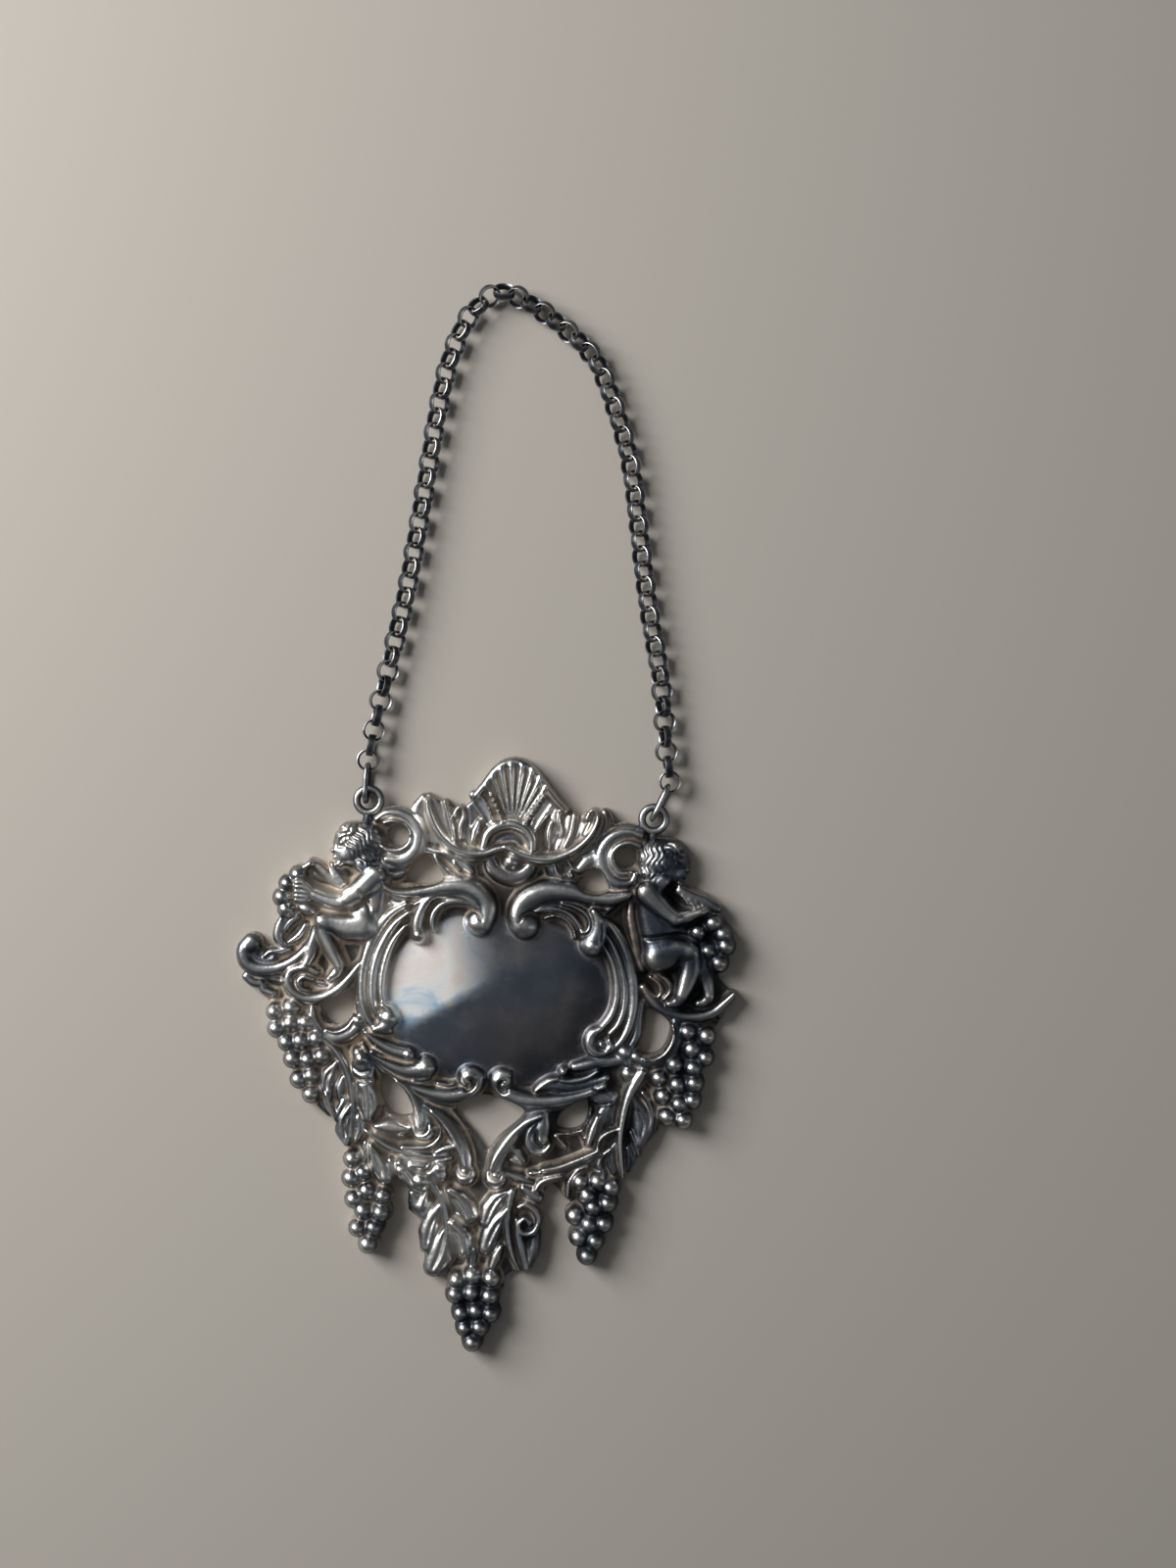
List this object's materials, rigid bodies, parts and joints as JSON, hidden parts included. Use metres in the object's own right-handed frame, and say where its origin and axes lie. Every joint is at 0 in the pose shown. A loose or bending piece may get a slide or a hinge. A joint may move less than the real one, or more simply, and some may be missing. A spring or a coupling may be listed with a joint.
{
  "type": "decanter label",
  "caption": "Openwork silver-plated decanter label with shell crest, putti, scrolls and grapes, hung from a chain loop by two jump rings.",
  "frame": {"origin": "on the plate's flat back, under the middle of its name panel", "axes": "+Z out of the face, +Y up the plate toward the chain, +X to the right seen from the face"},
  "size_m": [0.0649, 0.1388, 0.0049],
  "materials": {
    "plate_silver": "tarnished silver plate, bright on the high points",
    "chain_silver": "dark oxidised silver plate"
  },
  "bodies": {
    "label_plate": {"label_plate": "plate_silver"},
    "jump_ring_left": {"jump_ring_left": "chain_silver"},
    "chain_link_01": {"chain_link_01": "chain_silver"},
    "chain_link_02": {"chain_link_02": "chain_silver"},
    "chain_link_03": {"chain_link_03": "chain_silver"},
    "chain_link_04": {"chain_link_04": "chain_silver"},
    "chain_link_05": {"chain_link_05": "chain_silver"},
    "chain_link_06": {"chain_link_06": "chain_silver"},
    "chain_link_07": {"chain_link_07": "chain_silver"},
    "chain_link_08": {"chain_link_08": "chain_silver"},
    "chain_link_09": {"chain_link_09": "chain_silver"},
    "chain_link_10": {"chain_link_10": "chain_silver"},
    "chain_link_11": {"chain_link_11": "chain_silver"},
    "chain_link_12": {"chain_link_12": "chain_silver"},
    "chain_link_13": {"chain_link_13": "chain_silver"},
    "chain_link_14": {"chain_link_14": "chain_silver"},
    "chain_link_15": {"chain_link_15": "chain_silver"},
    "chain_link_16": {"chain_link_16": "chain_silver"},
    "chain_link_17": {"chain_link_17": "chain_silver"},
    "chain_link_18": {"chain_link_18": "chain_silver"},
    "chain_link_19": {"chain_link_19": "chain_silver"},
    "chain_link_20": {"chain_link_20": "chain_silver"},
    "chain_link_21": {"chain_link_21": "chain_silver"},
    "chain_link_22": {"chain_link_22": "chain_silver"},
    "chain_link_23": {"chain_link_23": "chain_silver"},
    "chain_link_24": {"chain_link_24": "chain_silver"},
    "chain_link_25": {"chain_link_25": "chain_silver"},
    "chain_link_26": {"chain_link_26": "chain_silver"},
    "chain_link_27": {"chain_link_27": "chain_silver"},
    "chain_link_28": {"chain_link_28": "chain_silver"},
    "chain_crown": {"chain_crown": "chain_silver"},
    "chain_link_43": {"chain_link_43": "chain_silver"},
    "chain_link_44": {"chain_link_44": "chain_silver"},
    "chain_link_45": {"chain_link_45": "chain_silver"},
    "chain_link_46": {"chain_link_46": "chain_silver"},
    "chain_link_47": {"chain_link_47": "chain_silver"},
    "chain_link_48": {"chain_link_48": "chain_silver"},
    "chain_link_49": {"chain_link_49": "chain_silver"},
    "chain_link_50": {"chain_link_50": "chain_silver"},
    "chain_link_51": {"chain_link_51": "chain_silver"},
    "chain_link_52": {"chain_link_52": "chain_silver"},
    "chain_link_53": {"chain_link_53": "chain_silver"},
    "chain_link_54": {"chain_link_54": "chain_silver"},
    "chain_link_55": {"chain_link_55": "chain_silver"},
    "chain_link_56": {"chain_link_56": "chain_silver"},
    "chain_link_57": {"chain_link_57": "chain_silver"},
    "chain_link_58": {"chain_link_58": "chain_silver"},
    "chain_link_59": {"chain_link_59": "chain_silver"},
    "chain_link_60": {"chain_link_60": "chain_silver"},
    "chain_link_61": {"chain_link_61": "chain_silver"},
    "chain_link_62": {"chain_link_62": "chain_silver"},
    "chain_link_63": {"chain_link_63": "chain_silver"},
    "chain_link_64": {"chain_link_64": "chain_silver"},
    "chain_link_65": {"chain_link_65": "chain_silver"},
    "chain_link_66": {"chain_link_66": "chain_silver"},
    "chain_link_67": {"chain_link_67": "chain_silver"},
    "chain_link_68": {"chain_link_68": "chain_silver"},
    "chain_link_69": {"chain_link_69": "chain_silver"},
    "chain_link_70": {"chain_link_70": "chain_silver"},
    "jump_ring_right": {"jump_ring_right": "chain_silver"}
  },
  "joints": [
    {"name": "ring_swing", "type": "hinge", "parent": "label_plate", "child": "jump_ring_left", "pos_m": [-0.0189, 0.0251, 0.0016], "axis": [1, 0.0003, 0], "range_deg": [-100, 110]},
    {"name": "left_fold_00", "type": "hinge", "parent": "jump_ring_left", "child": "chain_link_01", "pos_m": [-0.0189, 0.02775, 0.00174], "axis": [1, -0.0046, 0], "range_deg": [-20, 20]},
    {"name": "left_fold_01", "type": "hinge", "parent": "chain_link_01", "child": "chain_link_02", "pos_m": [-0.01879, 0.0298, 0.0017], "axis": [-1, 0.0069, 0.0004], "range_deg": [-20, 20]},
    {"name": "left_fold_02", "type": "hinge", "parent": "chain_link_02", "child": "chain_link_03", "pos_m": [-0.01856, 0.03176, 0.00163], "axis": [1, -0.0076, -0.0009], "range_deg": [-20, 20]},
    {"name": "left_fold_03", "type": "hinge", "parent": "chain_link_03", "child": "chain_link_04", "pos_m": [-0.0183, 0.03371, 0.00157], "axis": [-1, 0.0079, 0.0007], "range_deg": [-20, 20]},
    {"name": "left_fold_04", "type": "hinge", "parent": "chain_link_04", "child": "chain_link_05", "pos_m": [-0.01801, 0.03566, 0.00154], "axis": [1, -0.0078, 0], "range_deg": [-20, 20]},
    {"name": "left_fold_05", "type": "hinge", "parent": "chain_link_05", "child": "chain_link_06", "pos_m": [-0.01767, 0.0376, 0.00154], "axis": [-1, 0.0076, -0.0004], "range_deg": [-20, 20]},
    {"name": "left_fold_06", "type": "hinge", "parent": "chain_link_06", "child": "chain_link_07", "pos_m": [-0.01732, 0.03954, 0.00154], "axis": [1, -0.0075, 0.0004], "range_deg": [-20, 20]},
    {"name": "left_fold_07", "type": "hinge", "parent": "chain_link_07", "child": "chain_link_08", "pos_m": [-0.01696, 0.04148, 0.00155], "axis": [-1, 0.0075, -0.0002], "range_deg": [-20, 20]},
    {"name": "left_fold_08", "type": "hinge", "parent": "chain_link_08", "child": "chain_link_09", "pos_m": [-0.01662, 0.04342, 0.00155], "axis": [1, -0.0079, 0], "range_deg": [-20, 20]},
    {"name": "left_fold_09", "type": "hinge", "parent": "chain_link_09", "child": "chain_link_10", "pos_m": [-0.01629, 0.04536, 0.00155], "axis": [-1, 0.0087, 0], "range_deg": [-20, 20]},
    {"name": "left_fold_10", "type": "hinge", "parent": "chain_link_10", "child": "chain_link_11", "pos_m": [-0.01596, 0.0473, 0.00155], "axis": [1, -0.0099, 0], "range_deg": [-20, 20]},
    {"name": "left_fold_11", "type": "hinge", "parent": "chain_link_11", "child": "chain_link_12", "pos_m": [-0.01565, 0.04925, 0.00155], "axis": [-0.9999, 0.0112, 0], "range_deg": [-20, 20]},
    {"name": "left_fold_12", "type": "hinge", "parent": "chain_link_12", "child": "chain_link_13", "pos_m": [-0.01536, 0.05119, 0.00155], "axis": [0.9999, -0.0123, 0], "range_deg": [-20, 20]},
    {"name": "left_fold_13", "type": "hinge", "parent": "chain_link_13", "child": "chain_link_14", "pos_m": [-0.0151, 0.05315, 0.00155], "axis": [-0.9999, 0.0133, 0], "range_deg": [-20, 20]},
    {"name": "left_fold_14", "type": "hinge", "parent": "chain_link_14", "child": "chain_link_15", "pos_m": [-0.01487, 0.0551, 0.00155], "axis": [0.9999, -0.0144, 0], "range_deg": [-20, 20]},
    {"name": "left_fold_15", "type": "hinge", "parent": "chain_link_15", "child": "chain_link_16", "pos_m": [-0.01466, 0.05706, 0.00155], "axis": [-0.9999, 0.0154, 0], "range_deg": [-20, 20]},
    {"name": "left_fold_16", "type": "hinge", "parent": "chain_link_16", "child": "chain_link_17", "pos_m": [-0.01446, 0.05902, 0.00155], "axis": [0.9999, -0.0165, 0], "range_deg": [-20, 20]},
    {"name": "left_fold_17", "type": "hinge", "parent": "chain_link_17", "child": "chain_link_18", "pos_m": [-0.01425, 0.06098, 0.00155], "axis": [-0.9998, 0.0175, 0], "range_deg": [-20, 20]},
    {"name": "left_fold_18", "type": "hinge", "parent": "chain_link_18", "child": "chain_link_19", "pos_m": [-0.01405, 0.06294, 0.00155], "axis": [0.9998, -0.0187, 0], "range_deg": [-20, 20]},
    {"name": "left_fold_19", "type": "hinge", "parent": "chain_link_19", "child": "chain_link_20", "pos_m": [-0.01385, 0.0649, 0.00155], "axis": [-0.9998, 0.0199, 0], "range_deg": [-20, 20]},
    {"name": "left_fold_20", "type": "hinge", "parent": "chain_link_20", "child": "chain_link_21", "pos_m": [-0.01366, 0.06686, 0.00155], "axis": [0.9998, -0.0212, 0], "range_deg": [-20, 20]},
    {"name": "left_fold_21", "type": "hinge", "parent": "chain_link_21", "child": "chain_link_22", "pos_m": [-0.01346, 0.06882, 0.00155], "axis": [-0.9997, 0.0229, 0], "range_deg": [-20, 20]},
    {"name": "left_fold_22", "type": "hinge", "parent": "chain_link_22", "child": "chain_link_23", "pos_m": [-0.01328, 0.07078, 0.00155], "axis": [0.9997, -0.0255, 0], "range_deg": [-20, 20]},
    {"name": "left_fold_23", "type": "hinge", "parent": "chain_link_23", "child": "chain_link_24", "pos_m": [-0.01309, 0.07274, 0.00155], "axis": [-0.9996, 0.0293, 0], "range_deg": [-20, 20]},
    {"name": "left_fold_24", "type": "hinge", "parent": "chain_link_24", "child": "chain_link_25", "pos_m": [-0.01286, 0.0747, 0.00155], "axis": [0.9994, -0.0343, 0], "range_deg": [-20, 20]},
    {"name": "left_fold_25", "type": "hinge", "parent": "chain_link_25", "child": "chain_link_26", "pos_m": [-0.01259, 0.07665, 0.00155], "axis": [-0.9992, 0.0407, 0], "range_deg": [-20, 20]},
    {"name": "left_fold_26", "type": "hinge", "parent": "chain_link_26", "child": "chain_link_27", "pos_m": [-0.0123, 0.0786, 0.00155], "axis": [0.9988, -0.0484, 0], "range_deg": [-20, 20]},
    {"name": "left_fold_27", "type": "hinge", "parent": "chain_link_27", "child": "chain_link_28", "pos_m": [-0.01193, 0.08053, 0.00155], "axis": [-0.9984, 0.0571, 0], "range_deg": [-20, 20]},
    {"name": "left_fold_28", "type": "hinge", "parent": "chain_link_28", "child": "chain_crown", "pos_m": [-0.01151, 0.08246, 0.00155], "axis": [0.9977, -0.0671, 0], "range_deg": [-20, 20]},
    {"name": "right_fold_28", "type": "hinge", "parent": "chain_crown", "child": "chain_link_43", "pos_m": [0.00809, 0.08114, 0.00155], "axis": [0.9977, -0.0671, 0], "range_deg": [-20, 20]},
    {"name": "right_fold_27", "type": "hinge", "parent": "chain_link_43", "child": "chain_link_44", "pos_m": [0.00889, 0.07934, 0.00155], "axis": [-0.9984, 0.0571, 0], "range_deg": [-20, 20]},
    {"name": "right_fold_26", "type": "hinge", "parent": "chain_link_44", "child": "chain_link_45", "pos_m": [0.00968, 0.07754, 0.00155], "axis": [0.9988, -0.0484, 0], "range_deg": [-20, 20]},
    {"name": "right_fold_25", "type": "hinge", "parent": "chain_link_45", "child": "chain_link_46", "pos_m": [0.01043, 0.07571, 0.00155], "axis": [-0.9992, 0.0407, 0], "range_deg": [-20, 20]},
    {"name": "right_fold_24", "type": "hinge", "parent": "chain_link_46", "child": "chain_link_47", "pos_m": [0.01114, 0.07388, 0.00155], "axis": [0.9994, -0.0343, 0], "range_deg": [-20, 20]},
    {"name": "right_fold_23", "type": "hinge", "parent": "chain_link_47", "child": "chain_link_48", "pos_m": [0.01178, 0.07201, 0.00155], "axis": [-0.9996, 0.0293, 0], "range_deg": [-20, 20]},
    {"name": "right_fold_22", "type": "hinge", "parent": "chain_link_48", "child": "chain_link_49", "pos_m": [0.01235, 0.07013, 0.00155], "axis": [0.9997, -0.0255, 0], "range_deg": [-20, 20]},
    {"name": "right_fold_21", "type": "hinge", "parent": "chain_link_49", "child": "chain_link_50", "pos_m": [0.01283, 0.06822, 0.00155], "axis": [-0.9997, 0.0229, 0], "range_deg": [-20, 20]},
    {"name": "right_fold_20", "type": "hinge", "parent": "chain_link_50", "child": "chain_link_51", "pos_m": [0.01323, 0.06629, 0.00155], "axis": [0.9998, -0.0212, 0], "range_deg": [-20, 20]},
    {"name": "right_fold_19", "type": "hinge", "parent": "chain_link_51", "child": "chain_link_52", "pos_m": [0.01359, 0.06436, 0.00155], "axis": [-0.9998, 0.0199, 0], "range_deg": [-20, 20]},
    {"name": "right_fold_18", "type": "hinge", "parent": "chain_link_52", "child": "chain_link_53", "pos_m": [0.01395, 0.06242, 0.00155], "axis": [0.9998, -0.0187, 0], "range_deg": [-20, 20]},
    {"name": "right_fold_17", "type": "hinge", "parent": "chain_link_53", "child": "chain_link_54", "pos_m": [0.01431, 0.06048, 0.00155], "axis": [-0.9998, 0.0175, 0], "range_deg": [-20, 20]},
    {"name": "right_fold_16", "type": "hinge", "parent": "chain_link_54", "child": "chain_link_55", "pos_m": [0.01465, 0.05854, 0.00155], "axis": [0.9999, -0.0165, 0], "range_deg": [-20, 20]},
    {"name": "right_fold_15", "type": "hinge", "parent": "chain_link_55", "child": "chain_link_56", "pos_m": [0.01501, 0.0566, 0.00155], "axis": [-0.9999, 0.0154, 0], "range_deg": [-20, 20]},
    {"name": "right_fold_14", "type": "hinge", "parent": "chain_link_56", "child": "chain_link_57", "pos_m": [0.01538, 0.05467, 0.00155], "axis": [0.9999, -0.0144, 0], "range_deg": [-20, 20]},
    {"name": "right_fold_13", "type": "hinge", "parent": "chain_link_57", "child": "chain_link_58", "pos_m": [0.01576, 0.05274, 0.00155], "axis": [-0.9999, 0.0133, 0], "range_deg": [-20, 20]},
    {"name": "right_fold_12", "type": "hinge", "parent": "chain_link_58", "child": "chain_link_59", "pos_m": [0.01616, 0.05081, 0.00155], "axis": [0.9999, -0.0123, 0], "range_deg": [-20, 20]},
    {"name": "right_fold_11", "type": "hinge", "parent": "chain_link_59", "child": "chain_link_60", "pos_m": [0.01659, 0.04889, 0.00155], "axis": [-0.9999, 0.0112, 0], "range_deg": [-20, 20]},
    {"name": "right_fold_10", "type": "hinge", "parent": "chain_link_60", "child": "chain_link_61", "pos_m": [0.01707, 0.04697, 0.00155], "axis": [1, -0.0099, 0], "range_deg": [-20, 20]},
    {"name": "right_fold_09", "type": "hinge", "parent": "chain_link_61", "child": "chain_link_62", "pos_m": [0.01755, 0.04506, 0.00155], "axis": [-1, 0.0087, 0], "range_deg": [-20, 20]},
    {"name": "right_fold_08", "type": "hinge", "parent": "chain_link_62", "child": "chain_link_63", "pos_m": [0.01799, 0.04314, 0.00155], "axis": [1, -0.0079, 0], "range_deg": [-20, 20]},
    {"name": "right_fold_07", "type": "hinge", "parent": "chain_link_63", "child": "chain_link_64", "pos_m": [0.01837, 0.04121, 0.00155], "axis": [-1, 0.0075, -0.0002], "range_deg": [-20, 20]},
    {"name": "right_fold_06", "type": "hinge", "parent": "chain_link_64", "child": "chain_link_65", "pos_m": [0.0187, 0.03927, 0.00155], "axis": [1, -0.0075, 0.0004], "range_deg": [-20, 20]},
    {"name": "right_fold_05", "type": "hinge", "parent": "chain_link_65", "child": "chain_link_66", "pos_m": [0.019, 0.03732, 0.00155], "axis": [-1, 0.0076, -0.0004], "range_deg": [-20, 20]},
    {"name": "right_fold_04", "type": "hinge", "parent": "chain_link_66", "child": "chain_link_67", "pos_m": [0.01925, 0.03537, 0.00154], "axis": [1, -0.0078, 0], "range_deg": [-20, 20]},
    {"name": "right_fold_03", "type": "hinge", "parent": "chain_link_67", "child": "chain_link_68", "pos_m": [0.01949, 0.03341, 0.00155], "axis": [-1, 0.0079, 0.0007], "range_deg": [-20, 20]},
    {"name": "right_fold_02", "type": "hinge", "parent": "chain_link_68", "child": "chain_link_69", "pos_m": [0.0198, 0.03147, 0.0016], "axis": [1, -0.0076, -0.0009], "range_deg": [-20, 20]},
    {"name": "right_fold_01", "type": "hinge", "parent": "chain_link_69", "child": "chain_link_70", "pos_m": [0.02016, 0.02953, 0.00169], "axis": [-1, 0.0069, 0.0004], "range_deg": [-20, 20]},
    {"name": "right_fold_00", "type": "hinge", "parent": "chain_link_70", "child": "jump_ring_right", "pos_m": [0.01994, 0.02757, 0.00174], "axis": [1, -0.0046, 0], "range_deg": [-20, 20]}
  ],
  "couplings": [
    {"joint": "right_fold_28", "follows": "left_fold_28", "ratio": -1},
    {"joint": "right_fold_27", "follows": "left_fold_27", "ratio": -1},
    {"joint": "right_fold_26", "follows": "left_fold_26", "ratio": -1},
    {"joint": "right_fold_25", "follows": "left_fold_25", "ratio": -1},
    {"joint": "right_fold_24", "follows": "left_fold_24", "ratio": -1},
    {"joint": "right_fold_23", "follows": "left_fold_23", "ratio": -1},
    {"joint": "right_fold_22", "follows": "left_fold_22", "ratio": -1},
    {"joint": "right_fold_21", "follows": "left_fold_21", "ratio": -1},
    {"joint": "right_fold_20", "follows": "left_fold_20", "ratio": -1},
    {"joint": "right_fold_19", "follows": "left_fold_19", "ratio": -1},
    {"joint": "right_fold_18", "follows": "left_fold_18", "ratio": -1},
    {"joint": "right_fold_17", "follows": "left_fold_17", "ratio": -1},
    {"joint": "right_fold_16", "follows": "left_fold_16", "ratio": -1},
    {"joint": "right_fold_15", "follows": "left_fold_15", "ratio": -1},
    {"joint": "right_fold_14", "follows": "left_fold_14", "ratio": -1},
    {"joint": "right_fold_13", "follows": "left_fold_13", "ratio": -1},
    {"joint": "right_fold_12", "follows": "left_fold_12", "ratio": -1},
    {"joint": "right_fold_11", "follows": "left_fold_11", "ratio": -1},
    {"joint": "right_fold_10", "follows": "left_fold_10", "ratio": -1},
    {"joint": "right_fold_09", "follows": "left_fold_09", "ratio": -1},
    {"joint": "right_fold_08", "follows": "left_fold_08", "ratio": -1},
    {"joint": "right_fold_07", "follows": "left_fold_07", "ratio": -1},
    {"joint": "right_fold_06", "follows": "left_fold_06", "ratio": -1},
    {"joint": "right_fold_05", "follows": "left_fold_05", "ratio": -1},
    {"joint": "right_fold_04", "follows": "left_fold_04", "ratio": -1},
    {"joint": "right_fold_03", "follows": "left_fold_03", "ratio": -1},
    {"joint": "right_fold_02", "follows": "left_fold_02", "ratio": -1},
    {"joint": "right_fold_01", "follows": "left_fold_01", "ratio": -1},
    {"joint": "right_fold_00", "follows": "left_fold_00", "ratio": -1}
  ]
}
